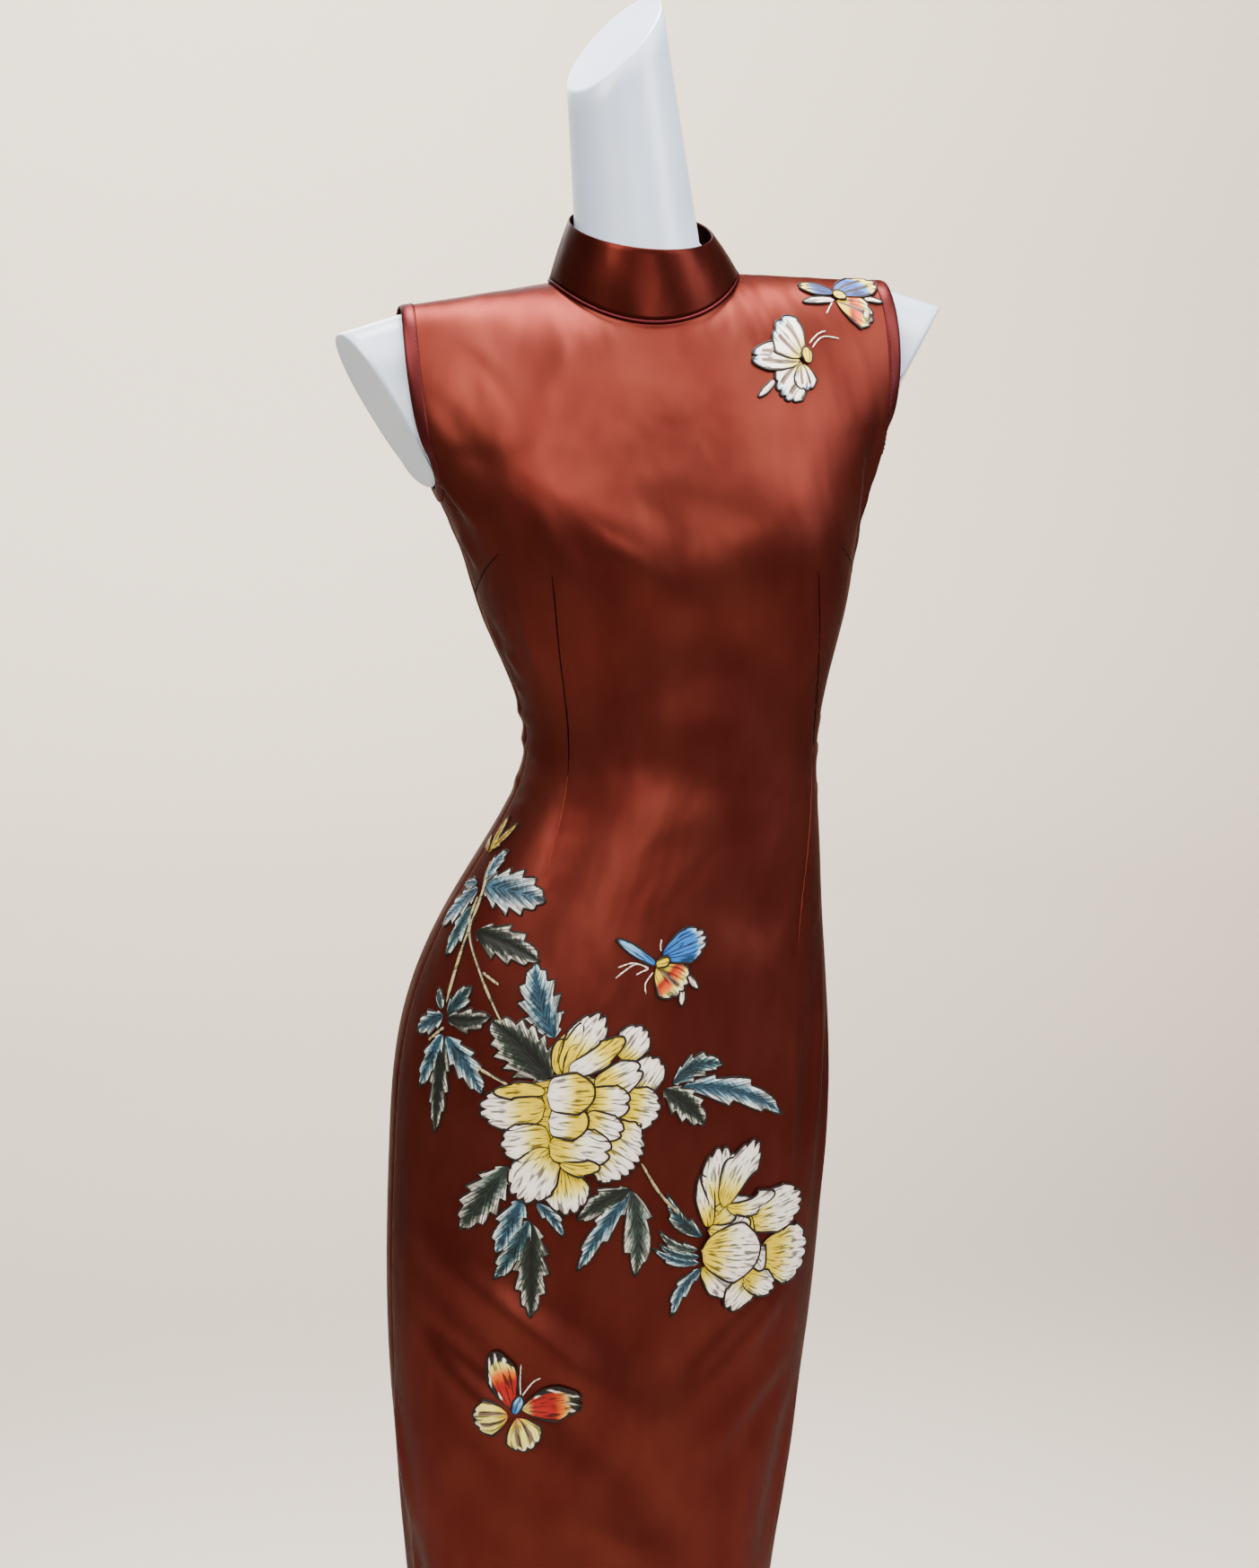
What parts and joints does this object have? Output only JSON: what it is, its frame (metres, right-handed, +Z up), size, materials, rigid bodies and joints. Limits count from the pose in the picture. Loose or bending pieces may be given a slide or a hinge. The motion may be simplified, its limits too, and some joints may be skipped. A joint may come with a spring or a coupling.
{
  "type": "cheongsam dress on a limbless dress form",
  "caption": "Long fitted sleeveless cheongsam with a stand collar, bound armholes and side slits, worn by a limbless dress form on a pole and round base.",
  "frame": {"origin": "on the floor, at the middle of the round base's underside", "axes": "+Z up the pole and the dress, -Y the way the front of the dress faces, +X to the wearer's left"},
  "size_m": [0.4801, 0.35, 1.627],
  "materials": {
    "satin": "smooth red-brown satin",
    "binding": "mauve-brown satin bias strip",
    "piping": "dark satin cord",
    "form_shell": "smooth white painted shell",
    "steel": "fine brushed"
  },
  "bodies": {
    "root": {"front": "satin", "back_left": "satin", "back_right": "satin", "collar": "satin", "collar_piping": "piping", "armhole_binding_left": "binding", "armhole_binding_right": "binding", "form_body": "form_shell", "form_pole": "steel", "form_base": "steel"}
  },
  "joints": []
}
